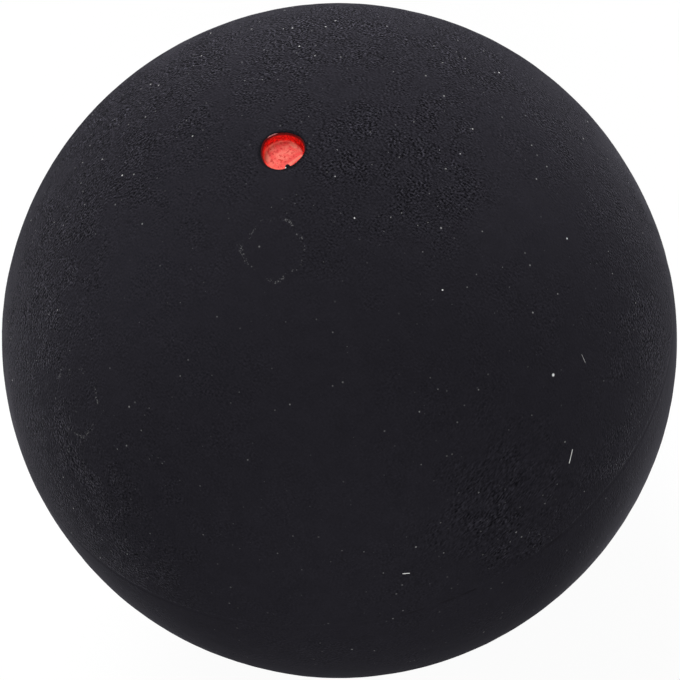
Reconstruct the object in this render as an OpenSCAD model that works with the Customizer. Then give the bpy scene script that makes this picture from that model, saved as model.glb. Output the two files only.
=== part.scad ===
// Squash ball: two moulded rubber half-shells cemented rim to rim, with one painted speed dot.
// The origin is the ball's centre. +Z runs out through the middle of the dot.
// The seam lies in the XY plane.

/* [Ball] */
// Outside diameter of the ball
ball_d = 40; // [30:0.5:60]
// Thickness of the rubber wall
wall_t = 5; // [3:0.1:8]

/* [Seam] */
// Thickness of the cement film between the two rims
cement_t = 0.15; // [0.1:0.05:0.5]
// How far the outer edge of the cement lies below the ball's skin
cement_inset = 0.02; // [0.02:0.01:0.2]
// Radius that rounds the outer edge of each half-shell's rim
rim_break_r = 0.03; // [0.03:0.01:0.4]
// Radius of the bead of cement that was squeezed out along the inside of the seam
bead_r = 0.6; // [0.3:0.05:1.2]

/* [Dot] */
// Diameter of the round recess that holds the dot's paint
dot_d = 2.6; // [1.5:0.1:6]
// Depth of the recess's flat floor below the edge between its wall and the ball's skin
dot_depth = 0.75; // [0.6:0.05:2]
// Radius that rounds that edge
lip_r = 0.12; // [0.05:0.01:0.25]
// Thickness of the paint on the floor of the recess
paint_floor_t = 0.12; // [0.05:0.01:0.2]
// Thickness of the paint on the wall of the recess
paint_wall_t = 0.08; // [0.03:0.01:0.2]
// Radius of the paint that gathers in the corner between floor and wall
paint_corner_r = 0.15; // [0.05:0.01:0.2]

/* [Hidden] */
$fn = 128;

// Overrun by which every cut passes the surface that it leaves
over = 1;

ball_r = ball_d / 2;
inner_r = ball_r - wall_t;
rim_z = cement_t / 2;
// How far the film runs on into its bead
bead_root = bead_r / 2;
dot_r = dot_d / 2;
floor_z = sqrt(pow(ball_r, 2) - pow(dot_r, 2)) - dot_depth;

// How far the circle that rounds an edge stands proud of the skin, so that the two cross at an angle
edge_proud = 0.01;

// Centre of the circle that rounds a rim's outer edge, tangent to the rim's flat
rim_break_reach = ball_r - rim_break_r + edge_proud;
rim_break_z = rim_z + rim_break_r;
rim_break_x = sqrt(pow(rim_break_reach, 2) - pow(rim_break_z, 2));
// Height at which the ball's radius through that centre meets the skin
rim_break_end_z = rim_break_z * ball_r / rim_break_reach;

// Centre of the circle that rounds the recess's lip, tangent to the recess's wall
lip_reach = ball_r - lip_r + edge_proud;
lip_x = dot_r + lip_r;
lip_z = sqrt(pow(lip_reach, 2) - pow(lip_x, 2));
// Distance from the axis at which the ball's radius through that centre meets the skin
lip_end_x = lip_x * ball_r / lip_reach;

// Quarter of the wall's section, between the skin and the chamber, from the axis out to the rim
module wall_section() {
    difference() {
        circle(r = ball_r);
        circle(r = inner_r);
        translate([-ball_r - over, -ball_r - over]) square([ball_r + over, 2 * (ball_r + over)]);
        translate([-over, -ball_r - over]) square([ball_r + 2 * over, ball_r + over + rim_z]);
    }
}

// What rounding takes off a corner: the box from low to high, less a circle
module corner_cut(low, high, centre, r) {
    difference() {
        translate(low) square(high - low);
        translate(centre) circle(r = r);
    }
}

// One half-shell's section with the outer edge of its rim rounded
module shell_section() {
    difference() {
        wall_section();
        corner_cut(
            [rim_break_x, rim_z - over],
            [ball_r + over, rim_break_end_z],
            [rim_break_x, rim_break_z],
            rim_break_r
        );
    }
}

// The same section with the recess for the dot sunk into it and the recess's lip rounded
module recessed_section() {
    difference() {
        shell_section();
        translate([0, floor_z]) square([dot_r, dot_depth + over]);
        corner_cut(
            [0, lip_z],
            [lip_end_x, ball_r + over],
            [lip_x, lip_z],
            lip_r
        );
    }
}

// The half-shell that carries the dot
module dot_half_shell() {
    color("#26252a")
        rotate_extrude() recessed_section();
}

// The half-shell without a dot
module plain_half_shell() {
    color("#232227")
        mirror([0, 0, 1])
            rotate_extrude() shell_section();
}

// The cured cement: a flat ring between the rims, and the bead along its inner edge
module seam_cement() {
    color("#17161a")
        rotate_extrude() {
            translate([inner_r - bead_root, -rim_z])
                square([bead_root + wall_t - cement_inset, cement_t]);
            intersection() {
                translate([inner_r, 0]) circle(r = bead_r);
                circle(r = inner_r);
            }
        }
}

// The paint of the dot: a film on the recess's floor and wall, gathered in the corner
module dot_paint() {
    paint_z = floor_z + paint_floor_t;
    paint_r = dot_r - paint_wall_t;
    corner_x = paint_r - paint_corner_r;
    color("#dd564c")
        rotate_extrude() {
            translate([0, floor_z]) square([dot_r, paint_floor_t]);
            translate([paint_r, floor_z]) square([paint_wall_t, lip_z - floor_z]);
            difference() {
                translate([corner_x, paint_z]) square([paint_corner_r, paint_corner_r]);
                translate([corner_x, paint_z + paint_corner_r]) circle(r = paint_corner_r);
            }
        }
}

dot_half_shell();
plain_half_shell();
seam_cement();
dot_paint();
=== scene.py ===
"""A squash ball: two buffed rubber half-shells, the cement between their rims, and one painted speed dot.

The frame's origin is the ball's centre, +Z runs out through the middle of the dot, and the seam lies in the
XY plane. Every length is in metres.
"""
import math

import bpy
from bpy.props import FloatProperty, FloatVectorProperty, IntProperty, PointerProperty
from mathutils import Matrix, Vector


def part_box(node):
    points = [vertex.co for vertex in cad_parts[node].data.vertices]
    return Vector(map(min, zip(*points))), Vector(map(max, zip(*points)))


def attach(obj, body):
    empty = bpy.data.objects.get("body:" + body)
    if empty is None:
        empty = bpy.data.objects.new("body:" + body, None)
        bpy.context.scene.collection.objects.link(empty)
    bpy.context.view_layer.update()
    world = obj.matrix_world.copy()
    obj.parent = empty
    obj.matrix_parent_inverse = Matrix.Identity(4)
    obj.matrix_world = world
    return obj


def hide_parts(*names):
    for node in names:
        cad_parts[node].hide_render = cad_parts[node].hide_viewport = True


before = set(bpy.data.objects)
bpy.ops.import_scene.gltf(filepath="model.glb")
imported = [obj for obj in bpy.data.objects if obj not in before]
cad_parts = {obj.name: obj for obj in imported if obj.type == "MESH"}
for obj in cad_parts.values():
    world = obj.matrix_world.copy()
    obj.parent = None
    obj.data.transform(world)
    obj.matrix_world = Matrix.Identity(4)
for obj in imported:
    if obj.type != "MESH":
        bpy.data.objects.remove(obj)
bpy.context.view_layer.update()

bl_info = {
    "name": "Squash Ball",
    "version": (1, 0, 0),
    "blender": (4, 5, 0),
    "location": "View3D > Sidebar > Squash Ball",
    "description": "A hollow rubber squash ball with its seam, its speed dot and a studio to show it in",
    "category": "Add Mesh",
}

MM = 0.001


def cad_radii(node):
    """The least and the greatest distance of a CAD node's surface from the ball's centre."""
    distances = [vertex.co.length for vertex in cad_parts[node].data.vertices]
    return min(distances), max(distances)


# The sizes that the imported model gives
CHAMBER_R, BALL_R = cad_radii("plain_half_shell")
RIM_Z = -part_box("plain_half_shell")[1].z
CEMENT_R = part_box("seam_cement")[1].x
BEAD_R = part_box("seam_cement")[1].z
DOT_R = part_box("dot_paint")[1].x
DOT_FLOOR_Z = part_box("dot_paint")[0].z

# The thickness of the paint on the recess's floor, and the height of its surface over the centre
PAINT_ON_FLOOR = 0.12 * MM
PAINT_FLOOR_Z = DOT_FLOOR_Z + PAINT_ON_FLOOR

# The photograph's geometry, in its own pixels, with y running down
IMAGE_SIDE_PX = 680
OUTLINE_PX = Vector((339.43, 340.55))
OUTLINE_RADIUS_PX = 337.26
DOT_PX = Vector((282.07, 149.85))
CAMERA_DISTANCE = 0.6
SENSOR_WIDTH = 36.0


def tilt_of(share):
    """The angle at the ball's centre between the camera and a point of the skin that shows at a share of the
    outline's radius. Sight lines graze the ball at its outline, so less than half of it shows."""
    distance = CAMERA_DISTANCE / BALL_R
    slope = share / math.sqrt(distance ** 2 - 1)
    return math.asin(slope * distance / math.sqrt(1 + slope ** 2)) - math.atan(slope)


def picture_offset(pixel):
    """A pixel's offset from the middle of the ball's outline, in outline radii, with y running up."""
    offset = (Vector(pixel) - OUTLINE_PX) / OUTLINE_RADIUS_PX
    return Vector((offset.x, -offset.y))


DOT_OFFSET = picture_offset(DOT_PX)
CAMERA_ELEVATION = math.pi / 2 - tilt_of(DOT_OFFSET.length)
CAMERA_ROLL = -math.atan2(-DOT_OFFSET.x, DOT_OFFSET.y)
TO_CAMERA = Vector((0, -math.cos(CAMERA_ELEVATION), math.sin(CAMERA_ELEVATION)))
LEVEL_UP = Vector((0, math.sin(CAMERA_ELEVATION), math.cos(CAMERA_ELEVATION)))
LEVEL_RIGHT = Vector((1, 0, 0))
PICTURE_RIGHT = LEVEL_RIGHT * math.cos(CAMERA_ROLL) + LEVEL_UP * math.sin(CAMERA_ROLL)
PICTURE_UP = LEVEL_UP * math.cos(CAMERA_ROLL) - LEVEL_RIGHT * math.sin(CAMERA_ROLL)


def on_skin(pixel):
    """The point of the ball's skin that shows at a pixel of the photograph."""
    offset = picture_offset(pixel)
    tilt = tilt_of(offset.length)
    sideways = (PICTURE_RIGHT * offset.x + PICTURE_UP * offset.y).normalized()
    return (TO_CAMERA * math.cos(tilt) + sideways * math.sin(tilt)) * BALL_R


def dot_azimuth(picture_angle):
    """The angle about +Z, from +X, of the side of the dot that shows in a direction of the picture."""
    flat = math.radians(picture_angle) + CAMERA_ROLL
    return math.atan2(math.sin(flat) / math.sin(CAMERA_ELEVATION), math.cos(flat))


class SquashBallSizes(bpy.types.PropertyGroup):
    """The ball's sizes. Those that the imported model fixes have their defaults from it."""

    ball_radius: FloatProperty(
        name="Ball radius", description="From the centre to the skin",
        default=BALL_R, unit="LENGTH")
    chamber_radius: FloatProperty(
        name="Chamber radius", description="From the centre to the inside wall",
        default=CHAMBER_R, unit="LENGTH")
    rim_height: FloatProperty(
        name="Rim height", description="Half the thickness of the cement film",
        default=RIM_Z, unit="LENGTH")
    rim_rounding: FloatProperty(
        name="Rim rounding", description="Radius of a rim's outer edge",
        default=0.03 * MM, unit="LENGTH")
    cement_radius: FloatProperty(
        name="Cement radius", description="From the axis to the film's outer edge in the packed model",
        default=CEMENT_R, unit="LENGTH")
    bead_radius: FloatProperty(
        name="Bead radius", description="Radius of the bead inside the seam",
        default=BEAD_R, unit="LENGTH")
    dot_radius: FloatProperty(
        name="Dot radius", description="Radius of the recess",
        default=DOT_R, unit="LENGTH")
    dot_floor: FloatProperty(
        name="Dot floor", description="Height of the recess's floor over the centre",
        default=DOT_FLOOR_Z, unit="LENGTH")
    lip_rounding: FloatProperty(
        name="Lip rounding", description="Radius of the recess's edge",
        default=0.12 * MM, unit="LENGTH")
    paint_floor: FloatProperty(
        name="Paint on the floor", description="Thickness of the paint on the floor",
        default=PAINT_ON_FLOOR, unit="LENGTH")
    paint_wall: FloatProperty(
        name="Paint on the wall", description="Thickness of the paint on the wall",
        default=0.08 * MM, unit="LENGTH")
    paint_corner: FloatProperty(
        name="Paint in the corner", description="Radius of the paint's fillet",
        default=0.15 * MM, unit="LENGTH")
    waviness: FloatProperty(
        name="Waviness", description="How far the skin wanders from a true sphere",
        default=0.06 * MM, unit="LENGTH")
    relief: FloatProperty(
        name="Relief", description="Height of the skin's small lumps",
        default=0.012 * MM, unit="LENGTH")
    segments: IntProperty(
        name="Segments", description="Steps of each turned piece about the axis",
        default=528, min=48)


class SquashBallColours(bpy.types.PropertyGroup):
    """The ball's colours."""

    rubber: FloatVectorProperty(
        name="Rubber", description="The filled black rubber",
        subtype="COLOR", size=4, default=(0.0164, 0.0156, 0.0201, 1))
    cement: FloatVectorProperty(
        name="Cement", description="The cured rubber cement",
        subtype="COLOR", size=4, default=(0.0104, 0.0096, 0.012, 1))
    paint: FloatVectorProperty(
        name="Paint", description="The paint of the speed dot",
        subtype="COLOR", size=4, default=(0.94, 0.108, 0.097, 1))
    dust: FloatVectorProperty(
        name="Dust", description="Dust, lint and chalky specks",
        subtype="COLOR", size=4, default=(0.8, 0.8, 0.8, 1))


# Vertices closer than this are one, and faces that meet at less than this angle are shaded as one
SAME_PLACE = 0.0001 * MM
SMOOTH_BELOW = math.radians(40)


class Profile:
    """Half a section of a turned piece, drawn with one vertex in the XZ plane and then spun about Z."""

    def __init__(self, name, x, z):
        bpy.ops.object.select_all(action="DESELECT")
        bpy.ops.mesh.primitive_plane_add(size=MM)
        self.piece = bpy.context.object
        self.piece.name = self.piece.data.name = name
        bpy.ops.object.mode_set(mode="EDIT")
        bpy.ops.mesh.merge(type="CENTER")
        bpy.ops.transform.translate(value=(x, 0, z))
        self.end = Vector((x, 0, z))

    def line_to(self, x, z, steps=1):
        """Extrudes the profile's end in equal steps to a point."""
        goal = Vector((x, 0, z))
        step = (goal - self.end) / steps
        for _ in range(steps):
            bpy.ops.mesh.extrude_vertices_move(TRANSFORM_OT_translate={"value": step})
        self.end = goal

    def arc_about(self, x, z, angle, steps):
        """Spins the profile's end about a point. A positive angle turns it from +Z towards +X."""
        centre = Vector((x, 0, z))
        bpy.ops.mesh.spin(steps=steps, angle=angle, center=centre, axis=(0, -1, 0))
        self.end = centre + Matrix.Rotation(angle, 3, "Y") @ (self.end - centre)

    def turn(self, segments):
        """Spins the profile about Z into a wedge, copies it round the axis, and closes it into a skin."""
        wedges = 8
        wedge_angle = 2 * math.pi / wedges
        bpy.ops.mesh.select_all(action="SELECT")
        bpy.ops.mesh.spin(
            steps=segments // wedges, angle=wedge_angle, use_auto_merge=False,
            center=(0, 0, 0), axis=(0, 0, 1))
        bpy.ops.mesh.select_all(action="SELECT")
        bpy.ops.mesh.spin(
            steps=wedges - 1, angle=2 * math.pi - wedge_angle, dupli=True, use_auto_merge=False,
            center=(0, 0, 0), axis=(0, 0, 1))
        bpy.ops.mesh.select_all(action="SELECT")
        bpy.ops.mesh.remove_doubles(threshold=SAME_PLACE)
        bpy.ops.mesh.normals_make_consistent(inside=False)
        bpy.ops.object.mode_set(mode="OBJECT")
        bpy.ops.object.shade_smooth_by_angle(angle=SMOOTH_BELOW)
        return self.piece


# How far apart the skin's long waves and its small lumps lie, over what length both fade out at an edge,
# how near the sphere a vertex of the skin lies, and the name of the skin's vertices
WAVE_LENGTH = 10 * MM
LUMP_LENGTH = 0.9 * MM
FADE_LENGTH = 0.8 * MM
ON_SPHERE = 0.001 * MM
SKIN_GROUP = "skin"


def smooth_step(value):
    """0 below 0, 1 above 1, and a smooth rise between them."""
    value = max(0.0, min(1.0, value))
    return value * value * (3 - 2 * value)


def roughen_skin(piece, sizes, first_tilt, last_tilt):
    """Gives the skin between two angles from the piece's pole its waviness and small lumps. Both fade out at
    the lip and at the rim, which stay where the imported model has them."""
    fade = FADE_LENGTH / sizes.ball_radius
    skin = piece.vertex_groups.new(name=SKIN_GROUP)
    for vertex in piece.data.vertices:
        if abs(vertex.co.length - sizes.ball_radius) > ON_SPHERE:
            continue
        tilt = math.atan2(vertex.co.xy.length, abs(vertex.co.z))
        weight = smooth_step((last_tilt - tilt) / fade)
        if first_tilt > 0:
            weight *= smooth_step((tilt - first_tilt) / fade)
        skin.add([vertex.index], weight, "REPLACE")
    for name, length, height in (
        ("waviness", WAVE_LENGTH, sizes.waviness),
        ("relief", LUMP_LENGTH, sizes.relief),
    ):
        texture = bpy.data.textures.new(f"{piece.name}_{name}", "CLOUDS")
        texture.noise_scale = length
        texture.noise_depth = 1
        displace = piece.modifiers.new(name, "DISPLACE")
        displace.texture = texture
        displace.texture_coords = "LOCAL"
        displace.strength = 2 * height
        displace.vertex_group = SKIN_GROUP
        bpy.ops.object.modifier_apply(modifier=displace.name)


def push_vertices(piece, near, within, move, spread):
    """Moves the vertices within a distance of a point, and drags their neighbours along over the spread."""
    bpy.ops.object.select_all(action="DESELECT")
    piece.select_set(True)
    bpy.context.view_layer.objects.active = piece
    bpy.ops.object.mode_set(mode="EDIT")
    bpy.ops.mesh.select_mode(type="VERT")
    bpy.ops.mesh.select_all(action="DESELECT")
    bpy.ops.object.mode_set(mode="OBJECT")
    for vertex in piece.data.vertices:
        vertex.select = (vertex.co - near).length < within
    bpy.ops.object.mode_set(mode="EDIT")
    bpy.ops.transform.translate(
        value=move,
        use_proportional_edit=True,
        proportional_edit_falloff="SMOOTH",
        proportional_size=spread,
    )
    bpy.ops.object.mode_set(mode="OBJECT")


def lip_point(sizes, azimuth):
    """A point on the crest of the recess's lip."""
    return Vector((
        sizes.dot_radius * math.cos(azimuth),
        sizes.dot_radius * math.sin(azimuth),
        math.sqrt(sizes.ball_radius ** 2 - sizes.dot_radius ** 2),
    ))


# The sides of the recess that aren't quite round, in degrees from the picture's right: how far each is
# pressed in, how wide the part is that moves as one, and how far the rest follows it
FLATTENED_SIDES = (-45, 71, 190)
FLATTENED_BY = 0.09 * MM
FLATTENED_WITHIN = 0.25 * MM
FLATTENED_OVER = 0.9 * MM


def flatten_lip(piece, sizes):
    """Presses the recess's round outline in a little on the sides where the real one is flat."""
    for side in FLATTENED_SIDES:
        azimuth = dot_azimuth(side)
        inwards = Vector((-math.cos(azimuth), -math.sin(azimuth), 0))
        push_vertices(
            piece, lip_point(sizes, azimuth), FLATTENED_WITHIN, inwards * FLATTENED_BY, FLATTENED_OVER)


# A nib of rubber flash that hangs into the recess: its side, in degrees from the picture's right, how far
# it reaches in, how wide its tip is, and how far its root spreads
NIB_SIDE = -72
NIB_REACH = 0.24 * MM
NIB_TIP = 0.08 * MM
NIB_ROOT = 0.13 * MM


def draw_out_nib(piece, sizes):
    """Pulls a small nib of rubber out of the lip, in over the paint."""
    azimuth = dot_azimuth(NIB_SIDE)
    inwards = Vector((-math.cos(azimuth), -math.sin(azimuth), 0))
    push_vertices(piece, lip_point(sizes, azimuth), NIB_TIP, inwards * NIB_REACH, NIB_ROOT)


def lip_circle(sizes):
    """The x and z of the circle that rounds the lip, and the angle from +Z where it meets the skin."""
    reach = sizes.ball_radius - sizes.lip_rounding
    x = sizes.dot_radius + sizes.lip_rounding
    return x, math.sqrt(reach ** 2 - x ** 2), math.asin(x / reach)


def rim_circle(sizes):
    """The x and z of the circle that rounds a rim, and the angle from +Z where it leaves the skin."""
    reach = sizes.ball_radius - sizes.rim_rounding
    z = sizes.rim_height + sizes.rim_rounding
    return math.sqrt(reach ** 2 - z ** 2), z, math.acos(z / reach)


def draw_rim_and_chamber(profile, sizes):
    """Draws on from the skin's end: round the rim's edge, in along the rim and up the chamber's wall."""
    rim_x, rim_z, rim_tilt = rim_circle(sizes)
    profile.arc_about(rim_x, rim_z, math.pi - rim_tilt, steps=3)
    chamber_x = math.sqrt(sizes.chamber_radius ** 2 - sizes.rim_height ** 2)
    profile.line_to(chamber_x, sizes.rim_height, steps=2)
    profile.arc_about(0, 0, -math.acos(sizes.rim_height / sizes.chamber_radius), steps=20)


def hand_over(piece, node, material):
    """Makes a finished piece stand for its CAD node."""
    piece.data.materials.clear()
    piece.data.materials.append(material)
    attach(piece, "root")
    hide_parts(node)


class Wiring:
    """Adds nodes to one shader tree and links them."""

    def __init__(self, tree):
        self.tree = tree

    def add(self, kind, inputs=None, **settings):
        """A node with its settings. An input is given a value or is linked to a socket."""
        node = self.tree.nodes.new(kind)
        for name, value in settings.items():
            setattr(node, name, value)
        for name, value in (inputs or {}).items():
            if isinstance(value, bpy.types.NodeSocket):
                self.tree.links.new(value, node.inputs[name])
            else:
                node.inputs[name].default_value = value
        return node

    def math(self, operation, first, second=0.0, third=0.0, clamp=False):
        inputs = {0: first, 1: second, 2: third}
        return self.add("ShaderNodeMath", inputs, operation=operation, use_clamp=clamp).outputs[0]

    def vector(self, operation, first, second=(0.0, 0.0, 0.0)):
        node = self.add("ShaderNodeVectorMath", {0: first, 1: second}, operation=operation)
        scalar = operation in ("DOT_PRODUCT", "LENGTH", "DISTANCE")
        return node.outputs["Value" if scalar else "Vector"]

    def scaled(self, vector, factor):
        node = self.add("ShaderNodeVectorMath", {0: vector, "Scale": factor}, operation="SCALE")
        return node.outputs["Vector"]

    def ranged(self, value, low, high):
        """A number that runs from low to high as a value runs from 0 to 1."""
        return self.math("MULTIPLY_ADD", value, high - low, low)

    def rise(self, value, low, high):
        """0 below low and 1 above high, or the other way round if high is less than low."""
        inputs = {"Value": value, "From Min": low, "From Max": high}
        node = self.add("ShaderNodeMapRange", inputs, interpolation_type="SMOOTHSTEP")
        return node.outputs["Result"]

    def mix(self, factor, first, second):
        """A colour between two colours."""
        node = self.add("ShaderNodeMix", data_type="RGBA")
        for socket, value in ((node.inputs[0], factor), (node.inputs[6], first), (node.inputs[7], second)):
            if isinstance(value, bpy.types.NodeSocket):
                self.tree.links.new(value, socket)
            else:
                socket.default_value = value
        return node.outputs[2]

    def between(self, factor, first, second):
        """A number between two numbers."""
        node = self.add("ShaderNodeMix", {0: factor, 2: first, 3: second}, data_type="FLOAT")
        return node.outputs[0]

    def noise(self, vector, scale, detail=2.0, roughness=0.5):
        inputs = {"Vector": vector, "Scale": scale, "Detail": detail, "Roughness": roughness}
        return self.add("ShaderNodeTexNoise", inputs).outputs[0]


def group(name, inputs, outputs):
    """A shader node group with named sockets: its wiring, its input sockets and its output node."""
    tree = bpy.data.node_groups.new(name, "ShaderNodeTree")
    for socket_name, kind, default in inputs:
        socket = tree.interface.new_socket(socket_name, in_out="INPUT", socket_type=kind)
        socket.default_value = default
    for socket_name, kind in outputs:
        tree.interface.new_socket(socket_name, in_out="OUTPUT", socket_type=kind)
    wiring = Wiring(tree)
    given = tree.nodes.new("NodeGroupInput").outputs
    result = tree.nodes.new("NodeGroupOutput")
    return wiring, given, result


FLOAT = "NodeSocketFloat"
VECTOR = "NodeSocketVector"

# From here on, lengths are in millimetres unless they are written with MM, and a noise's scale is per
# millimetre. This is the value that a noise varies about
NOISE_MIDDLE = 0.5

# The finer detail on the grain's lumps
LUMP_DETAIL = {"detail": 0.6, "roughness": 0.7}

# Specks of dust: how large and how bright they are, how much rarer the bright ones are, and the share of
# its radius within which a speck is at its full strength
SPECK_SIZES = (0.4, 1.2)
SPECK_BRIGHTNESS = (0.1, 0.9)
BRIGHT_SPECK_RARITY = 2.0
SPECK_CORE = 0.4

# A fibre: the share of its width that is at full strength, and the length, squared, that a grain counts as
FIBRE_CORE = 0.3
GRAIN_LENGTH_SQUARED = 0.000001

# A dried drop: how its ring wanders and by how much, its outer and inner edge from the ring's middle, how
# often and where it is broken, how round its specks are, and the share of its radius that is calm
RING_WAVES = {"scale": 0.7}
RING_WANDER = 1.3
RING_EDGES = (0.14, 0.03)
RING_BREAKS = {"scale": 1.6, "detail": 1.0}
RING_UNBROKEN = (0.42, 0.60)
RING_SPECK_EDGES = (0.5, 0.2)
CALM_CORE = 0.8


def make_grain_group():
    """Buffed rubber: close lumps of one size, drawn out one way, and their painted shading, paler on one
    side of each lump and darker on the other.
    """
    wiring, given, result = group(
        "Buffed grain",
        [
            ("Vector", VECTOR, (0, 0, 0)), ("Pitch", FLOAT, 0.15), ("Along", VECTOR, (0, 0, 1)),
            ("Drawn Out", FLOAT, 1.0), ("Lit Side", VECTOR, (0, 0, 0.1)),
        ],
        [("Height", FLOAT), ("Lump Shading", FLOAT)],
    )
    place = given["Vector"]
    fineness = wiring.math("DIVIDE", 1.0, given["Pitch"])
    shortened = wiring.math("SUBTRACT", 1.0, wiring.math("DIVIDE", 1.0, given["Drawn Out"]))
    run = wiring.math("MULTIPLY", wiring.vector("DOT_PRODUCT", place, given["Along"]), shortened)
    squeezed = wiring.vector("SUBTRACT", place, wiring.scaled(given["Along"], run))
    beside = wiring.vector("ADD", squeezed, given["Lit Side"])
    lumps, lumps_beside = (
        wiring.noise(spot, fineness, **LUMP_DETAIL) for spot in (squeezed, beside))
    wiring.tree.links.new(wiring.math("SUBTRACT", lumps, NOISE_MIDDLE), result.inputs["Height"])
    # Painted shading: how much higher the lump stands here than a little way towards its lit side
    wiring.tree.links.new(wiring.math("SUBTRACT", lumps, lumps_beside), result.inputs["Lump Shading"])
    return wiring.tree


def make_patch_group():
    """The greater of a mask so far and one more patch, whose edge wanders."""
    wiring, given, result = group(
        "Patches",
        [
            ("Vector", VECTOR, (0, 0, 0)), ("Wander", FLOAT, 0.0), ("Centre", VECTOR, (0, 0, 0)),
            ("Radius", FLOAT, 5.0), ("Gain", FLOAT, 1.0), ("So Far", FLOAT, 0.0),
        ],
        [("Mask", FLOAT)],
    )
    distance = wiring.vector("DISTANCE", given["Vector"], given["Centre"])
    spot = wiring.rise(wiring.math("ADD", distance, given["Wander"]), given["Radius"], 0.0)
    mask = wiring.math("MAXIMUM", given["So Far"], wiring.math("MULTIPLY", spot, given["Gain"]))
    wiring.tree.links.new(mask, result.inputs["Mask"])
    return wiring.tree


def make_dust_group():
    """Sparse round specks, one at most in each cell of a grid."""
    wiring, given, result = group(
        "Dust specks",
        [
            ("Vector", VECTOR, (0, 0, 0)), ("Spacing", FLOAT, 2.0), ("Radius", FLOAT, 0.05),
            ("Share", FLOAT, 0.5),
        ],
        [("Mask", FLOAT)],
    )
    cells = wiring.add(
        "ShaderNodeTexVoronoi",
        {"Vector": given["Vector"], "Scale": wiring.math("DIVIDE", 1.0, given["Spacing"])},
    )
    chance = wiring.add("ShaderNodeSeparateColor", {"Color": cells.outputs["Color"]}).outputs
    distance = wiring.math("MULTIPLY", cells.outputs["Distance"], given["Spacing"])
    size = wiring.math("MULTIPLY", given["Radius"], wiring.ranged(chance[1], *SPECK_SIZES))
    speck = wiring.rise(distance, size, wiring.math("MULTIPLY", size, SPECK_CORE))
    kept = wiring.math("LESS_THAN", chance[0], given["Share"])
    bright = wiring.ranged(wiring.math("POWER", chance[2], BRIGHT_SPECK_RARITY), *SPECK_BRIGHTNESS)
    mask = wiring.math("MULTIPLY", wiring.math("MULTIPLY", speck, kept), bright)
    wiring.tree.links.new(mask, result.inputs["Mask"])
    return wiring.tree


def make_fibre_group():
    """A short straight fibre that lies between two points, or a grain of dust where they are the same."""
    wiring, given, result = group(
        "Lint fibre",
        [
            ("Vector", VECTOR, (0, 0, 0)), ("Start", VECTOR, (0, 0, 0)), ("End", VECTOR, (0, 0, 1)),
            ("Width", FLOAT, 0.06),
        ],
        [("Mask", FLOAT)],
    )
    along = wiring.vector("SUBTRACT", given["End"], given["Start"])
    offset = wiring.vector("SUBTRACT", given["Vector"], given["Start"])
    length_squared = wiring.math(
        "MAXIMUM", wiring.vector("DOT_PRODUCT", along, along), GRAIN_LENGTH_SQUARED)
    share = wiring.math("DIVIDE", wiring.vector("DOT_PRODUCT", offset, along), length_squared, clamp=True)
    nearest = wiring.scaled(along, share)
    distance = wiring.vector("DISTANCE", offset, nearest)
    mask = wiring.rise(distance, given["Width"], wiring.math("MULTIPLY", given["Width"], FIBRE_CORE))
    wiring.tree.links.new(mask, result.inputs["Mask"])
    return wiring.tree


def make_ring_group():
    """A dried drop's mark: a broken ring of chalky specks round a calm patch."""
    wiring, given, result = group(
        "Dried drop",
        [
            ("Vector", VECTOR, (0, 0, 0)), ("Centre", VECTOR, (0, 0, 0)), ("Radius", FLOAT, 1.7),
            ("Speck", FLOAT, 0.12),
        ],
        [("Specks", FLOAT), ("Inside", FLOAT)],
    )
    place = given["Vector"]
    wave = wiring.math("SUBTRACT", wiring.noise(place, **RING_WAVES), NOISE_MIDDLE)
    wander = wiring.math("MULTIPLY", wave, RING_WANDER)
    distance = wiring.math("ADD", wiring.vector("DISTANCE", place, given["Centre"]), wander)
    off_ring = wiring.math("ABSOLUTE", wiring.math("SUBTRACT", distance, given["Radius"]))
    ring = wiring.rise(off_ring, *RING_EDGES)
    unbroken = wiring.rise(wiring.noise(place, **RING_BREAKS), *RING_UNBROKEN)
    cells = wiring.add(
        "ShaderNodeTexVoronoi", {"Vector": place, "Scale": wiring.math("DIVIDE", 1.0, given["Speck"])})
    grains = wiring.rise(cells.outputs["Distance"], *RING_SPECK_EDGES)
    specks = wiring.math("MULTIPLY", wiring.math("MULTIPLY", ring, unbroken), grains)
    inside = wiring.rise(distance, given["Radius"], wiring.math("MULTIPLY", given["Radius"], CALM_CORE))
    wiring.tree.links.new(specks, result.inputs["Specks"])
    wiring.tree.links.new(inside, result.inputs["Inside"])
    return wiring.tree


# Where the grain is strong, where its lumps are larger, and where the buffing left ripples, by the pixels
# of the photograph: each place, its radius, and how strong it is there
GRAINY_PLACES = (
    ((180, 150), 12.0, 0.9), ((125, 110), 13.0, 2.3), ((310, 30), 14.0, 2.4), ((400, 145), 10.5, 1.8),
    ((505, 100), 12.0, 0.9), ((25, 320), 11.0, 2.2), ((655, 330), 11.0, 1.4), ((60, 400), 9.0, 1.1),
    ((110, 500), 9.0, 1.1), ((345, 215), 7.0, 0.8), ((462, 48), 10.5, 2.2), ((561, 119), 10.5, 1.3),
    ((629, 221), 10.5, 1.2), ((629, 460), 9.5, 1.1), ((540, 541), 7.0, 1.3), ((110, 545), 10.0, 1.6),
    ((52, 460), 10.5, 1.6), ((50, 222), 10.5, 2.4), ((108, 105), 9.5, 2.9), ((212, 48), 9.5, 2.7),
    ((340, 18), 8.0, 3.0),
)
COARSE_PLACES = (
    ((120, 110), 9.0, 0.8), ((310, 20), 9.0, 0.7), ((20, 320), 8.0, 0.7), ((660, 330), 8.0, 1.0),
    ((400, 150), 8.0, 0.7), ((60, 450), 8.0, 0.8),
)
RIPPLED_PLACES = (((505, 495), 9.0, 1.0), ((600, 400), 6.0, 0.5))

# How far the edge of such a place wanders in and out, and how it wanders on the rubber
EDGE_WANDER = (-4.0, 4.0)
RUBBER_WANDER = {"scale": 0.35, "detail": 1.0}

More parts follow.
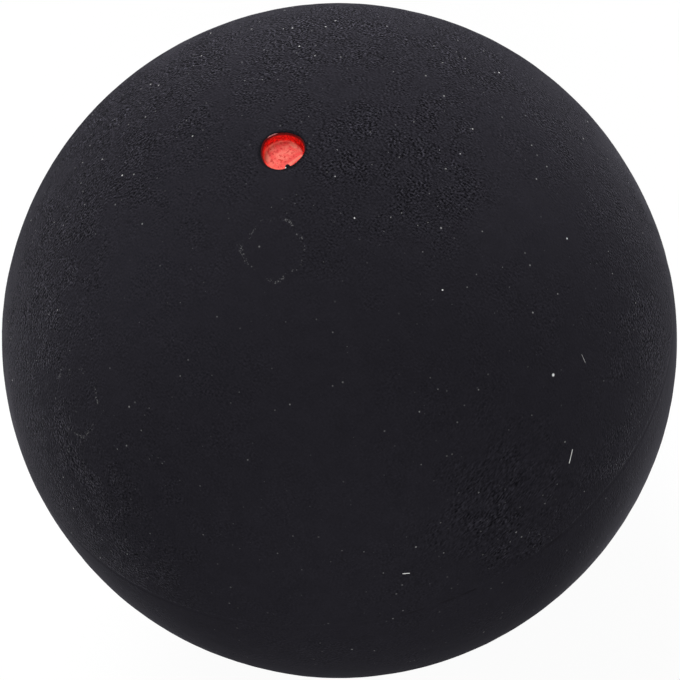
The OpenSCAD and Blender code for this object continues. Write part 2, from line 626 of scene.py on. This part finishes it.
# The way that the ripples run across the photograph
RIPPLE_ANGLE = math.radians(55)
RIPPLE_ALONG = PICTURE_RIGHT * math.cos(RIPPLE_ANGLE) + PICTURE_UP * math.sin(RIPPLE_ANGLE)
RIPPLE_ACROSS = PICTURE_UP * math.cos(RIPPLE_ANGLE) - PICTURE_RIGHT * math.sin(RIPPLE_ANGLE)

# The rubber's grain and its ripples: how far apart the lumps lie, and how far and which way the painted lit
# side of a lump lies from its crest, for the painted shading of the lumps
FINE_GRAIN = {"Pitch": 0.12, "Lit Side": PICTURE_UP * 0.09}
COARSE_GRAIN = {"Pitch": 0.15, "Lit Side": PICTURE_RIGHT * 0.10}
RIPPLES = {"Pitch": 0.13, "Lit Side": RIPPLE_ACROSS * 0.10, "Along": RIPPLE_ALONG, "Drawn Out": 1.8}
GRAIN_DEPTH = 0.15 * MM

# The least and the greatest strength and coarseness of the grain away from the places above, how it changes
# between them, and the strength of the ripples
PLAIN_STRENGTH = (0.12, 0.42)
PLAIN_COARSENESS = (0.40, 0.55)
UNEVENNESS = {"scale": 0.16}
UNEVEN_RISE = (0.35, 0.65)
RIPPLE_STRENGTH = 0.9

# Where the skin is scuffed smooth, and the share of the grain that is left there
SCUFFS = {"scale": 0.6}
SCUFFED_RISE = (0.35, 0.60)
SCUFFED_SHARE = 0.4

# The rubber's tone: its mottling and its powder and how much they change it, how much paler the painted lit
# side of a lump is and how dark its painted shaded side at most, where a lit side starts to get a painted
# glint, and how much strong grain darkens it all
MOTTLING = {"scale": 0.9, "detail": 3.0}
MOTTLED_TONE = (0.85, 1.15)
POWDER = {"scale": 9.0, "detail": 1.0}
POWDERY_TONE = (0.75, 1.25)
LUMP_SHADING_CONTRAST = 3.1
DARKEST_SHADED_SIDE = 0.3
PAINTED_GLINT_FROM = 0.20
PAINTED_GLINT_CONTRAST = 4.0
GRAIN_SHADE = 0.04

# A painted shade on the rubber round the recess: a dark ring at the lip, from its outer to its inner edge,
# and how dark it is
LIP_SHADE_RING = (DOT_R / MM + 0.22, DOT_R / MM + 0.05)
LIP_SHADE_DEPTH = 0.5

# Dust: the spacing and radius of its specks, and the share of the places that hold one. The haze lies in
# the grain, and single specks lie everywhere
HAZE = {"Spacing": 0.45, "Radius": 0.050, "Share": 0.75}
SPECKS = {"Spacing": 0.6, "Radius": 0.068, "Share": 0.75}
HAZE_IN_GRAIN = 0.20
HAZE_AT_MOST = 0.32
SPECKS_IN_GRAIN = 0.42
SPECKS_EVERYWHERE = 0.18

# Marks on the skin, by the pixels of the photograph where they show. A drop's mark has its radius and how
# much it calmed the grain inside, a fibre its two ends and its width, and a grain of dust its radius
DROP_MARKS = (((274, 250), 1.75, 0.6), ((77, 402), 2.05, 0.1))
DROP_CHALK = 0.13
FIBRES = (
    ((572.7, 449.7), (569.5, 463.1), 0.045),
    ((403.0, 573.8), (409.5, 573.4), 0.045),
    ((582.0, 354.5), (585.5, 362.5), 0.03),
)
GRAINS = (
    ((553.5, 375.0), 0.13),
    ((285.5, 167.6), 0.06),
    ((567.0, 238.5), 0.07),
    ((442.5, 290.0), 0.07),
    ((354.5, 218.0), 0.06),
)

# How dull, dusty rubber takes the light
DULL_RUBBER = {
    "Specular IOR Level": 0.01,
    "Sheen Weight": 0.082,
    "Sheen Roughness": 0.35,
    "Sheen Tint": (0.81, 0.795, 0.90, 1),
}
RUBBER_ROUGHNESS = (0.88, 1.0)
POWDER_RELIEF = 0.02

# Where buffing has left the seam open to the eye, by a pixel of the photograph, how far from it, and how
# the dark line breaks off there
OPEN_SEAM = (((500, 580), 13.0, 1.0),)
SEAM_BREAKS = {"scale": 0.8}
SEAM_UNBROKEN = (0.40, 0.60)
CEMENT_LUMPS = {"scale": 2.2, "detail": 3.0}
CEMENT_ROUGHNESS = (0.85, 1.0)
CEMENT_DEPTH = 0.05 * MM
CEMENT_RELIEF = 0.6


def group_node(wiring, tree, inputs):
    """The outputs of a node that holds a group, with its inputs by name."""
    return wiring.add("ShaderNodeGroup", inputs, node_tree=tree).outputs


def new_material(name):
    """A material with its shader, the wiring to add to it, and the skin's coordinates in millimetres."""
    material = bpy.data.materials.new(name)
    material.use_nodes = True
    wiring = Wiring(material.node_tree)
    shader = material.node_tree.nodes["Principled BSDF"]
    coordinates = wiring.add("ShaderNodeTexCoord").outputs["Object"]
    return material, wiring, shader, wiring.scaled(coordinates, 1 / MM)


def dress(wiring, shader, looks, colour, roughness, height, depth, relief=1.0):
    """Gives a shader the looks that are the same all over, and those that change over the surface."""
    for name, value in looks.items():
        shader.inputs[name].default_value = value
    bump = wiring.add("ShaderNodeBump", {"Height": height, "Strength": relief, "Distance": depth})
    wiring.tree.links.new(colour, shader.inputs["Base Color"])
    wiring.tree.links.new(roughness, shader.inputs["Roughness"])
    wiring.tree.links.new(bump.outputs["Normal"], shader.inputs["Normal"])


def patches(wiring, groups, place, wander, spots, so_far):
    """The greatest of a mask so far and the patches round several pixels of the photograph."""
    for pixel, radius, gain in spots:
        so_far = group_node(wiring, groups["patch"], {
            "Vector": place, "Wander": wander, "Centre": on_skin(pixel) / MM, "Radius": radius,
            "Gain": gain, "So Far": so_far,
        })["Mask"]
    return so_far


def streaks(wiring, groups, place, found_on, spots):
    """A mask of streaks, each between two pixels of the photograph, on the skin or on the paint."""
    mask = 0.0
    for start, end, width in spots:
        streak = group_node(wiring, groups["fibre"], {
            "Vector": place, "Start": found_on(start) / MM, "End": found_on(end) / MM, "Width": width,
        })["Mask"]
        mask = wiring.math("MAXIMUM", mask, streak)
    return mask


def from_upright(wiring, place, foot):
    """How far a place is from the upright line through a point."""
    offset = wiring.vector("SUBTRACT", place, foot)
    return wiring.vector("LENGTH", wiring.vector("MULTIPLY", offset, (1, 1, 0)))


def buffed_grain(wiring, groups, place, marked):
    """The grain's strength, its height, and the painted shading of its lumps, pale on their lit sides and
    dark on the others.
    """
    fine, coarse, ripples = (
        group_node(wiring, groups["grain"], {"Vector": place, **grain})
        for grain in (FINE_GRAIN, COARSE_GRAIN, RIPPLES))
    uneven = wiring.rise(wiring.noise(place, **UNEVENNESS), *UNEVEN_RISE)
    strength = wiring.ranged(uneven, *PLAIN_STRENGTH)
    coarseness = wiring.ranged(uneven, *PLAIN_COARSENESS)
    rippled = 0.0
    if marked:
        wander = wiring.ranged(wiring.noise(place, **RUBBER_WANDER), *EDGE_WANDER)
        strength = patches(wiring, groups, place, wander, GRAINY_PLACES, strength)
        coarseness = patches(wiring, groups, place, wander, COARSE_PLACES, coarseness)
        rippled = patches(wiring, groups, place, wander, RIPPLED_PLACES, 0.0)
    height, lump_shading = (
        wiring.between(rippled, wiring.between(coarseness, fine[name], coarse[name]), ripples[name])
        for name in ("Height", "Lump Shading"))
    strength = wiring.math("MAXIMUM", strength, wiring.math("MULTIPLY", rippled, RIPPLE_STRENGTH))
    buffed = wiring.rise(wiring.noise(place, **SCUFFS), *SCUFFED_RISE)
    strength = wiring.math("MULTIPLY", strength, wiring.ranged(buffed, SCUFFED_SHARE, 1.0))
    return strength, height, lump_shading


def settled_dust(wiring, groups, place, strength):
    """A mask of the haze of dust in the grain and of the single specks."""
    haze, specks = (
        group_node(wiring, groups["dust"], {"Vector": place, **dust})["Mask"] for dust in (HAZE, SPECKS))
    haze_share = wiring.math("MINIMUM", wiring.math("MULTIPLY", strength, HAZE_IN_GRAIN), HAZE_AT_MOST)
    speck_share = wiring.math("MULTIPLY_ADD", strength, SPECKS_IN_GRAIN, SPECKS_EVERYWHERE, clamp=True)
    haze = wiring.math("MULTIPLY", haze, haze_share)
    specks = wiring.math("MULTIPLY", specks, speck_share)
    return wiring.math("MAXIMUM", haze, specks)


def with_marks(wiring, groups, place, dust):
    """A mask of dust with the drop marks, fibres and grains added, and how far drops calmed the grain."""
    calm = 0.0
    for pixel, radius, calmed in DROP_MARKS:
        drop = group_node(
            wiring, groups["ring"], {"Vector": place, "Centre": on_skin(pixel) / MM, "Radius": radius})
        dust = wiring.math("MAXIMUM", dust, wiring.math("MULTIPLY", drop["Specks"], DROP_CHALK))
        calm = wiring.math("MAXIMUM", calm, wiring.math("MULTIPLY", drop["Inside"], calmed))
    grains = tuple((pixel, pixel, radius) for pixel, radius in GRAINS)
    lint = streaks(wiring, groups, place, on_skin, FIBRES + grains)
    return wiring.math("MAXIMUM", dust, lint), calm


def make_rubber(name, colours, groups, marked):
    """Buffed black rubber with its dust, and painted shading and glints on its lumps. The half-shell with
    the dot also has its drop marks and fibres, and a painted shade round the recess.
    """
    material, wiring, shader, place = new_material(name)
    strength, height, lump_shading = buffed_grain(wiring, groups, place, marked)
    dust = settled_dust(wiring, groups, place, strength)
    if marked:
        dust, calm = with_marks(wiring, groups, place, dust)
        strength = wiring.math("MULTIPLY", strength, wiring.math("SUBTRACT", 1.0, calm))
    powder = wiring.noise(place, **POWDER)
    mottle = wiring.noise(place, **MOTTLING)
    strong_lump_shading = wiring.math("MULTIPLY", lump_shading, strength)
    # Painted light and shade: each lump is paler on its lit side and darker on the other, and the palest
    # sides get a painted glint
    shaded = wiring.math("MAXIMUM", wiring.math("MULTIPLY_ADD", strong_lump_shading, LUMP_SHADING_CONTRAST, 1.0), DARKEST_SHADED_SIDE)
    painted_glint = wiring.math("MAXIMUM", wiring.math("SUBTRACT", strong_lump_shading, PAINTED_GLINT_FROM), 0.0)
    tone = wiring.math("MULTIPLY_ADD", painted_glint, PAINTED_GLINT_CONTRAST, shaded)
    tone = wiring.math("MULTIPLY", tone, wiring.ranged(mottle, *MOTTLED_TONE))
    tone = wiring.math("MULTIPLY", tone, wiring.ranged(powder, *POWDERY_TONE))
    tone = wiring.math("MULTIPLY", tone, wiring.ranged(strength, 1.0, 1.0 - GRAIN_SHADE))
    if marked:
        # Painted shade: the rubber darkens in a ring round the recess's lip
        lip_shade = wiring.rise(from_upright(wiring, place, (0, 0, 0)), *LIP_SHADE_RING)
        tone = wiring.math("MULTIPLY", tone, wiring.ranged(lip_shade, 1.0, 1.0 - LIP_SHADE_DEPTH))
    shade = wiring.scaled(tuple(colours.rubber)[:3], tone)
    colour = wiring.mix(dust, shade, tuple(colours.dust))
    roughness = wiring.ranged(mottle, *RUBBER_ROUGHNESS)
    relief = wiring.math("MULTIPLY_ADD", powder, POWDER_RELIEF, wiring.math("MULTIPLY", height, strength))
    dress(wiring, shader, DULL_RUBBER, colour, roughness, relief, GRAIN_DEPTH)
    return material


def make_cement(colours, groups):
    """Cured rubber cement, as dull as the rubber and flush with it, and dark in a stretch of the seam."""
    material, wiring, shader, place = new_material("cured_cement")
    lumps = wiring.noise(place, **CEMENT_LUMPS)
    opened = patches(wiring, groups, place, wiring.ranged(lumps, *EDGE_WANDER), OPEN_SEAM, 0.0)
    unbroken = wiring.rise(wiring.noise(place, **SEAM_BREAKS), *SEAM_UNBROKEN)
    dark = wiring.math("MULTIPLY", opened, unbroken)
    colour = wiring.mix(dark, tuple(colours.rubber), tuple(colours.cement))
    roughness = wiring.ranged(lumps, *CEMENT_ROUGHNESS)
    dress(wiring, shader, DULL_RUBBER, colour, roughness, lumps, CEMENT_DEPTH, CEMENT_RELIEF)
    return material


# The paint's mottling and its flecks, and where on their noises each of its colours begins and is full
PAINT_MOTTLING = {"scale": 2.6, "detail": 3.0, "roughness": 0.6}
PAINT_FLECKS = {"scale": 8.0, "detail": 2.0, "roughness": 0.6}
POOLED_RISE = (0.42, 0.66)
FLECKED_RISE = (0.52, 0.68)
SHADED_WALL_RISE = (0.40, 0.62)

# Painted highlights on the recess's floor and along the lip: streaks between two pixels of the photograph,
# and the width of each
FLOOR_HIGHLIGHTS = (
    ((288.0, 165.0), (301.0, 155.5), 0.12),
    ((263.0, 151.0), (268.0, 159.0), 0.24),
    ((291.5, 143.5), (295.0, 146.5), 0.20),
)
LIP_HIGHLIGHTS = (
    ((268.0, 137.0), (279.0, 131.3), 0.09),
    ((279.0, 131.3), (285.0, 130.5), 0.09),
    ((288.0, 134.0), (297.0, 137.5), 0.07),
)

# The middle of the pale paint on the floor, by a pixel of the photograph, how far from it the paint deepens,
# and where it ends and the wall's painted shade reaches onto the floor on the shaded side
PALE_MIDDLE = (282.6, 157.2)
PALE_DEEPENS = (0.65, 1.10)
PALE_ENDS = (1.14, 1.21)

# The way to the side of the recess where the wall's painted shade reaches down onto the floor, square to the
# recess's axis, and the distances that way between which it sets in
SHADED_SIDE_ANGLE = math.radians(75)
SHADED_SIDE_WAY = PICTURE_RIGHT * math.cos(SHADED_SIDE_ANGLE) + PICTURE_UP * math.sin(SHADED_SIDE_ANGLE)
SHADED_SIDE_WAY = Vector((SHADED_SIDE_WAY.x, SHADED_SIDE_WAY.y, 0)).normalized()
SHADED_SIDE_EDGES = (-0.3, 0.3)

# Heights over the paint's floor: where its fillet rises, where the wall's painted shade begins, how much
# lower that is for each millimetre towards the shaded side, and where the lip darkens, partly with painted
# shade and partly as thin paint over black rubber
FILLET_RISES = (0.0, 0.05)
WALL_SHADE_BEGINS = (0.21, 0.29)
SHADE_LEAN = 0.14
LIP_DARKENS = (0.38, 0.52)

# The paint's other colours, among them painted highlights and painted shade, and how strongly three of them
# cover what is under them
POOLED_PAINT = (0.96, 0.23, 0.175, 1)
FLECKED_PAINT = (0.72, 0.050, 0.042, 1)
DEEPER_PAINT = (0.94, 0.085, 0.055, 1)
FLOOR_HIGHLIGHT_PAINT = (1.0, 0.32, 0.23, 1)
FILLET_PAINT = (0.94, 0.14, 0.09, 1)
DARK_SHADED_WALL = (0.42, 0.006, 0.005, 1)
RED_SHADED_WALL = (0.84, 0.016, 0.012, 1)
LIP_STAIN_AND_SHADE = (0.10, 0.006, 0.006, 1)
LIP_HIGHLIGHT_PAINT = (0.50, 0.20, 0.20, 1)
DEEPER_COVERS = 0.12
HIGHLIGHTS_COVER = 0.75
FILLET_COVERS = 0.5

# How matte paint takes the light, and how high its lumps stand
MATTE_PAINT = {"Specular IOR Level": 0.05}
PAINT_ROUGHNESS = (0.35, 0.65)
PAINT_DEPTH = 0.06 * MM
FLECK_HEIGHT = 0.5


def on_paint(pixel):
    """The point of the paint's floor that shows at a pixel of the photograph."""
    skin = on_skin(pixel)
    return skin - TO_CAMERA * ((skin.z - PAINT_FLOOR_Z) / TO_CAMERA.z)


def make_paint(colours, groups):
    """Flexible matte paint: mottled where it pooled, with painted highlights, and a painted shade of deep
    red on the recess's wall and on the floor under it.
    """
    material, wiring, shader, place = new_material("dot_paint")
    mottle = wiring.noise(place, **PAINT_MOTTLING)
    flecks = wiring.noise(place, **PAINT_FLECKS)
    height = wiring.math("SUBTRACT", wiring.vector("DOT_PRODUCT", place, (0, 0, 1)), PAINT_FLOOR_Z / MM)
    from_middle = from_upright(wiring, place, on_paint(PALE_MIDDLE) / MM)
    to_shaded_side = wiring.vector("DOT_PRODUCT", place, SHADED_SIDE_WAY)
    # Painted shadow: on the side under the upper wall, the wall's painted shade reaches past the pale middle
    # onto the floor
    shadow_on_floor = wiring.math(
        "MULTIPLY", wiring.rise(from_middle, *PALE_ENDS), wiring.rise(to_shaded_side, *SHADED_SIDE_EDGES))
    shade_height = wiring.math("MULTIPLY_ADD", to_shaded_side, SHADE_LEAN, height)
    wall_shade = wiring.math("MAXIMUM", shadow_on_floor, wiring.rise(shade_height, *WALL_SHADE_BEGINS))
    # Painted shade: the recess's wall is deep red in place of the paint's own colour
    wall = wiring.mix(wiring.rise(flecks, *SHADED_WALL_RISE), DARK_SHADED_WALL, RED_SHADED_WALL)
    # Partly painted shade: the upper wall and the lip darken, and partly the paint runs thin there over
    # black rubber
    stained_and_shaded = wiring.rise(height, *LIP_DARKENS)
    # Painted highlights: pale streaks on the floor, and below them pale streaks along the lip
    pale = streaks(wiring, groups, place, on_paint, FLOOR_HIGHLIGHTS)
    lip_highlights = streaks(wiring, groups, place, on_skin, LIP_HIGHLIGHTS)
    colour = wiring.mix(wiring.rise(mottle, *POOLED_RISE), tuple(colours.paint), POOLED_PAINT)
    # Each layer over those before it: where it lies, and its colour
    for share, layer in (
        (wiring.rise(flecks, *FLECKED_RISE), FLECKED_PAINT),
        (wiring.math("MULTIPLY", wiring.rise(from_middle, *PALE_DEEPENS), DEEPER_COVERS), DEEPER_PAINT),
        (wiring.math("MULTIPLY", pale, HIGHLIGHTS_COVER), FLOOR_HIGHLIGHT_PAINT),
        (wiring.math("MULTIPLY", wiring.rise(height, *FILLET_RISES), FILLET_COVERS), FILLET_PAINT),
        (wall_shade, wall),
        (stained_and_shaded, LIP_STAIN_AND_SHADE),
        (wiring.math("MULTIPLY", lip_highlights, stained_and_shaded), LIP_HIGHLIGHT_PAINT),
    ):
        colour = wiring.mix(share, colour, layer)
    roughness = wiring.math("MAXIMUM", wiring.ranged(mottle, *PAINT_ROUGHNESS), stained_and_shaded)
    lumps = wiring.math("MULTIPLY_ADD", flecks, FLECK_HEIGHT, mottle)
    dress(wiring, shader, MATTE_PAINT, colour, roughness, lumps, PAINT_DEPTH)
    return material


def shared_group(name, make):
    """A node group that several materials share, built the first time that it is asked for."""
    return bpy.data.node_groups.get(name) or make()


def skin_groups():
    return {
        "grain": shared_group("Buffed grain", make_grain_group),
        "patch": shared_group("Patches", make_patch_group),
        "dust": shared_group("Dust specks", make_dust_group),
        "fibre": shared_group("Lint fibre", make_fibre_group),
        "ring": shared_group("Dried drop", make_ring_group),
    }


class SquashBallOperator(bpy.types.Operator):
    """What every operator of the squash ball shares."""

    bl_options = {"REGISTER", "UNDO"}

    def ball(self, context):
        """The ball's sizes and colours."""
        return context.scene.squash_ball_sizes, context.scene.squash_ball_colours


class MESH_OT_squash_dot_half_shell(SquashBallOperator):
    """Makes the half-shell that carries the speed dot's recess"""

    bl_idname = "mesh.squash_dot_half_shell"
    bl_label = "Dot Half-Shell"

    def execute(self, context):
        sizes, colours = self.ball(context)
        lip_x, lip_z, lip_tilt = lip_circle(sizes)
        rim_tilt = rim_circle(sizes)[2]
        profile = Profile("dot_half_shell_skin", 0, sizes.dot_floor)
        profile.line_to(sizes.dot_radius, sizes.dot_floor, steps=6)
        profile.line_to(sizes.dot_radius, lip_z, steps=5)
        profile.arc_about(lip_x, lip_z, math.pi / 2 + lip_tilt, steps=8)
        profile.arc_about(0, 0, rim_tilt - lip_tilt, steps=120)
        draw_rim_and_chamber(profile, sizes)
        piece = profile.turn(sizes.segments)
        roughen_skin(piece, sizes, lip_tilt, rim_tilt)
        flatten_lip(piece, sizes)
        draw_out_nib(piece, sizes)
        rubber = make_rubber("dot_shell_rubber", colours, skin_groups(), marked=True)
        hand_over(piece, "dot_half_shell", rubber)
        return {"FINISHED"}


class MESH_OT_squash_plain_half_shell(SquashBallOperator):
    """Makes the half-shell without a dot"""

    bl_idname = "mesh.squash_plain_half_shell"
    bl_label = "Plain Half-Shell"

    def execute(self, context):
        sizes, colours = self.ball(context)
        rim_tilt = rim_circle(sizes)[2]
        profile = Profile("plain_half_shell_skin", 0, sizes.ball_radius)
        profile.arc_about(0, 0, rim_tilt, steps=128)
        draw_rim_and_chamber(profile, sizes)
        piece = profile.turn(sizes.segments)
        bpy.ops.transform.mirror(constraint_axis=(False, False, True), orient_type="GLOBAL")
        bpy.ops.object.transform_apply(location=True, rotation=True, scale=True)
        bpy.ops.object.mode_set(mode="EDIT")
        bpy.ops.mesh.select_all(action="SELECT")
        bpy.ops.mesh.normals_make_consistent(inside=False)
        bpy.ops.object.mode_set(mode="OBJECT")
        roughen_skin(piece, sizes, 0, rim_tilt)
        rubber = make_rubber("plain_shell_rubber", colours, skin_groups(), marked=False)
        hand_over(piece, "plain_half_shell", rubber)
        return {"FINISHED"}


# Buffing smears the film out over a share of the rims' rounded edges, and leaves it just under the skin.
# Lengths are in metres again from here on
SMEAR_OVER_ROUNDING = 0.8
SMEAR_DEPTH = 0.002 * MM


class MESH_OT_squash_seam_cement(SquashBallOperator):
    """Makes the ring of cement between the rims and the bead along its inside"""

    bl_idname = "mesh.squash_seam_cement"
    bl_label = "Seam Cement"

    def execute(self, context):
        sizes, colours = self.ball(context)
        chamber_x = math.sqrt(sizes.chamber_radius ** 2 - sizes.rim_height ** 2)
        smear_z = sizes.rim_height + SMEAR_OVER_ROUNDING * sizes.rim_rounding
        smear_x = math.sqrt(sizes.ball_radius ** 2 - smear_z ** 2) - SMEAR_DEPTH
        profile = Profile("seam_cement_ring", smear_x, -smear_z)
        profile.line_to(smear_x, smear_z, steps=2)
        profile.line_to(sizes.cement_radius, sizes.rim_height)
        profile.line_to(chamber_x, sizes.rim_height, steps=4)
        # The bead leaves the film's top face, runs round inside the chamber and ends at its bottom face
        bead_tilt = 2 * math.asin(sizes.bead_radius / (2 * sizes.chamber_radius))
        film_tilt = math.asin(sizes.rim_height / sizes.chamber_radius)
        profile.arc_about(0, 0, film_tilt - bead_tilt, steps=3)
        profile.arc_about(sizes.chamber_radius, 0, -(math.pi - bead_tilt), steps=10)
        profile.arc_about(0, 0, film_tilt - bead_tilt, steps=3)
        profile.line_to(sizes.cement_radius, -sizes.rim_height, steps=4)
        profile.line_to(smear_x, -smear_z)
        piece = profile.turn(sizes.segments)
        hand_over(piece, "seam_cement", make_cement(colours, skin_groups()))
        return {"FINISHED"}


# How far round the lip's edge the paint reaches, and how thick it still is there
PAINT_OVER_LIP = math.radians(50)
PAINT_EDGE = 0.015 * MM


class MESH_OT_squash_dot_paint(SquashBallOperator):
    """Makes the cup of paint in the speed dot's recess"""

    bl_idname = "mesh.squash_dot_paint"
    bl_label = "Dot Paint"

    def execute(self, context):
        sizes, colours = self.ball(context)
        lip_x, lip_z, _ = lip_circle(sizes)
        paint_z = sizes.dot_floor + sizes.paint_floor
        paint_x = sizes.dot_radius - sizes.paint_wall
        profile = Profile("dot_paint_cup", 0, sizes.dot_floor)
        profile.line_to(sizes.dot_radius, sizes.dot_floor, steps=6)
        profile.line_to(sizes.dot_radius, lip_z, steps=5)
        profile.arc_about(lip_x, lip_z, PAINT_OVER_LIP, steps=5)
        lip_centre = Vector((lip_x, 0, lip_z))
        edge_way = (profile.end - lip_centre).normalized()
        edge = lip_centre + edge_way * (sizes.lip_rounding + PAINT_EDGE)
        profile.line_to(edge.x, edge.z)
        profile.arc_about(lip_x, lip_z, -PAINT_OVER_LIP, steps=5)
        profile.line_to(paint_x, lip_z - 2 * sizes.paint_wall, steps=2)
        profile.line_to(paint_x, paint_z + sizes.paint_corner, steps=3)
        profile.arc_about(paint_x - sizes.paint_corner, paint_z + sizes.paint_corner, math.pi / 2, steps=6)
        profile.line_to(0, paint_z, steps=10)
        piece = profile.turn(sizes.segments)
        flatten_lip(piece, sizes)
        hand_over(piece, "dot_paint", make_paint(colours, skin_groups()))
        return {"FINISHED"}


# Lamps: the angle of each from the camera's line of sight, its turn about that line from the picture's
# right, its power in watts and the side of its square in metres
LAMPS = {
    "front_lamp": (33, 270, 19.2, 1.0),
    "overhead_lamp": (80, 110, 22.0, 0.8),
    "back_lamp": (112, 90, 11.4, 1.0),
    "left_lamp": (114, 156, 20.0, 0.8),
    "right_lamp": (106, 43, 36.0, 0.8),
}
LAMP_DISTANCE = 1.5
AMBIENT = 0.08

# The floor's side, how pale it looks, how much of the light on it goes on to the ball, and how much of its
# look is its shading
FLOOR_SIDE = 8.0
FLOOR_COLOUR = 0.9
FLOOR_BOUNCE = 0.1
SHADOW_SHARE = 0.06


def background_ray(wiring):
    """1 for a ray that shows the background: from the camera, or by way of a gloss or through glass."""
    path = wiring.add("ShaderNodeLightPath").outputs
    seen = wiring.math("ADD", path["Is Camera Ray"], path["Is Glossy Ray"])
    return wiring.math("ADD", seen, path["Is Transmission Ray"], clamp=True)


class SCENE_OT_squash_stage(SquashBallOperator):
    """Makes the pale floor, the soft lamps, the white surroundings and the camera"""

    bl_idname = "scene.squash_stage"
    bl_label = "Stage"

    def execute(self, context):
        sizes, _ = self.ball(context)
        self.make_floor(sizes)
        self.make_world(context)
        for name, (angle, turn, power, side) in LAMPS.items():
            self.make_lamp(name, math.radians(angle), math.radians(turn), power, side)
        self.make_camera(context)
        context.scene.view_settings.view_transform = "Standard"
        return {"FINISHED"}

    def make_floor(self, sizes):
        bpy.ops.object.select_all(action="DESELECT")
        bpy.ops.mesh.primitive_plane_add(size=FLOOR_SIDE, location=(0, 0, -sizes.ball_radius))
        floor = bpy.context.object
        floor.name = "stage_floor"
        bpy.ops.object.transform_apply(location=True)
        material = bpy.data.materials.new("stage_white")
        material.use_nodes = True
        wiring = Wiring(material.node_tree)
        output = material.node_tree.nodes["Material Output"]
        material.node_tree.nodes.remove(material.node_tree.nodes["Principled BSDF"])
        seen = background_ray(wiring)
        shade = wiring.between(seen, FLOOR_BOUNCE, FLOOR_COLOUR)
        lit = wiring.add("ShaderNodeBsdfDiffuse", {"Color": shade}).outputs[0]
        white = wiring.add("ShaderNodeEmission", {"Color": (1, 1, 1, 1), "Strength": 1.0}).outputs[0]
        share = wiring.math("MULTIPLY", seen, 1 - SHADOW_SHARE)
        mixed = wiring.add("ShaderNodeMixShader", {0: share, 1: lit, 2: white}).outputs[0]
        wiring.tree.links.new(mixed, output.inputs["Surface"])
        floor.data.materials.append(material)

    def make_world(self, context):
        world = bpy.data.worlds.new("studio")
        world.use_nodes = True
        wiring = Wiring(world.node_tree)
        background = world.node_tree.nodes["Background"]
        background.inputs["Color"].default_value = (1, 1, 1, 1)
        strength = wiring.math("MULTIPLY_ADD", background_ray(wiring), 1 - AMBIENT, AMBIENT)
        wiring.tree.links.new(strength, background.inputs["Strength"])
        context.scene.world = world

    def make_lamp(self, name, angle, turn, power, side):
        sideways = PICTURE_RIGHT * math.cos(turn) + PICTURE_UP * math.sin(turn)
        direction = TO_CAMERA * math.cos(angle) + sideways * math.sin(angle)
        bpy.ops.object.light_add(
            type="AREA", location=direction * LAMP_DISTANCE,
            rotation=direction.to_track_quat("Z", "Y").to_euler())
        lamp = bpy.context.object
        lamp.name = lamp.data.name = name
        lamp.data.energy = power
        lamp.data.size = side
        lamp.visible_camera = False

    def make_camera(self, context):
        turn = Matrix((PICTURE_RIGHT, PICTURE_UP, TO_CAMERA)).transposed()
        bpy.ops.object.camera_add(location=TO_CAMERA * CAMERA_DISTANCE, rotation=turn.to_euler())
        camera = bpy.context.object
        camera.name = camera.data.name = "photograph_camera"
        outline_slope = math.tan(math.asin(BALL_R / CAMERA_DISTANCE))
        half_image_slope = outline_slope * (IMAGE_SIDE_PX / 2) / OUTLINE_RADIUS_PX
        camera.data.sensor_width = SENSOR_WIDTH
        camera.data.lens = SENSOR_WIDTH / (2 * half_image_slope)
        camera.data.shift_x = (IMAGE_SIDE_PX / 2 - OUTLINE_PX.x) / IMAGE_SIDE_PX
        camera.data.shift_y = (OUTLINE_PX.y - IMAGE_SIDE_PX / 2) / IMAGE_SIDE_PX
        camera.data.clip_start = 0.01
        context.scene.camera = camera


PIECE_OPERATORS = (
    MESH_OT_squash_dot_half_shell,
    MESH_OT_squash_plain_half_shell,
    MESH_OT_squash_seam_cement,
    MESH_OT_squash_dot_paint,
    SCENE_OT_squash_stage,
)


class VIEW3D_PT_squash_ball(bpy.types.Panel):
    """The squash ball's operators, sizes and colours in the sidebar"""

    bl_label = "Squash Ball"
    bl_space_type = "VIEW_3D"
    bl_region_type = "UI"
    bl_category = "Squash Ball"

    def draw(self, context):
        for operator in PIECE_OPERATORS:
            self.layout.operator(operator.bl_idname)
        for settings in (context.scene.squash_ball_sizes, context.scene.squash_ball_colours):
            box = self.layout.box()
            for name in settings.__annotations__:
                box.prop(settings, name)


CLASSES = (SquashBallSizes, SquashBallColours, *PIECE_OPERATORS, VIEW3D_PT_squash_ball)


def register():
    for each in CLASSES:
        bpy.utils.register_class(each)
    bpy.types.Scene.squash_ball_sizes = PointerProperty(type=SquashBallSizes)
    bpy.types.Scene.squash_ball_colours = PointerProperty(type=SquashBallColours)


def unregister():
    del bpy.types.Scene.squash_ball_colours
    del bpy.types.Scene.squash_ball_sizes
    for each in reversed(CLASSES):
        bpy.utils.unregister_class(each)


def main():
    """Makes every piece and the stage."""
    register()
    bpy.ops.mesh.squash_dot_half_shell()
    bpy.ops.mesh.squash_plain_half_shell()
    bpy.ops.mesh.squash_seam_cement()
    bpy.ops.mesh.squash_dot_paint()
    bpy.ops.scene.squash_stage()


if __name__ == "__main__":
    main()
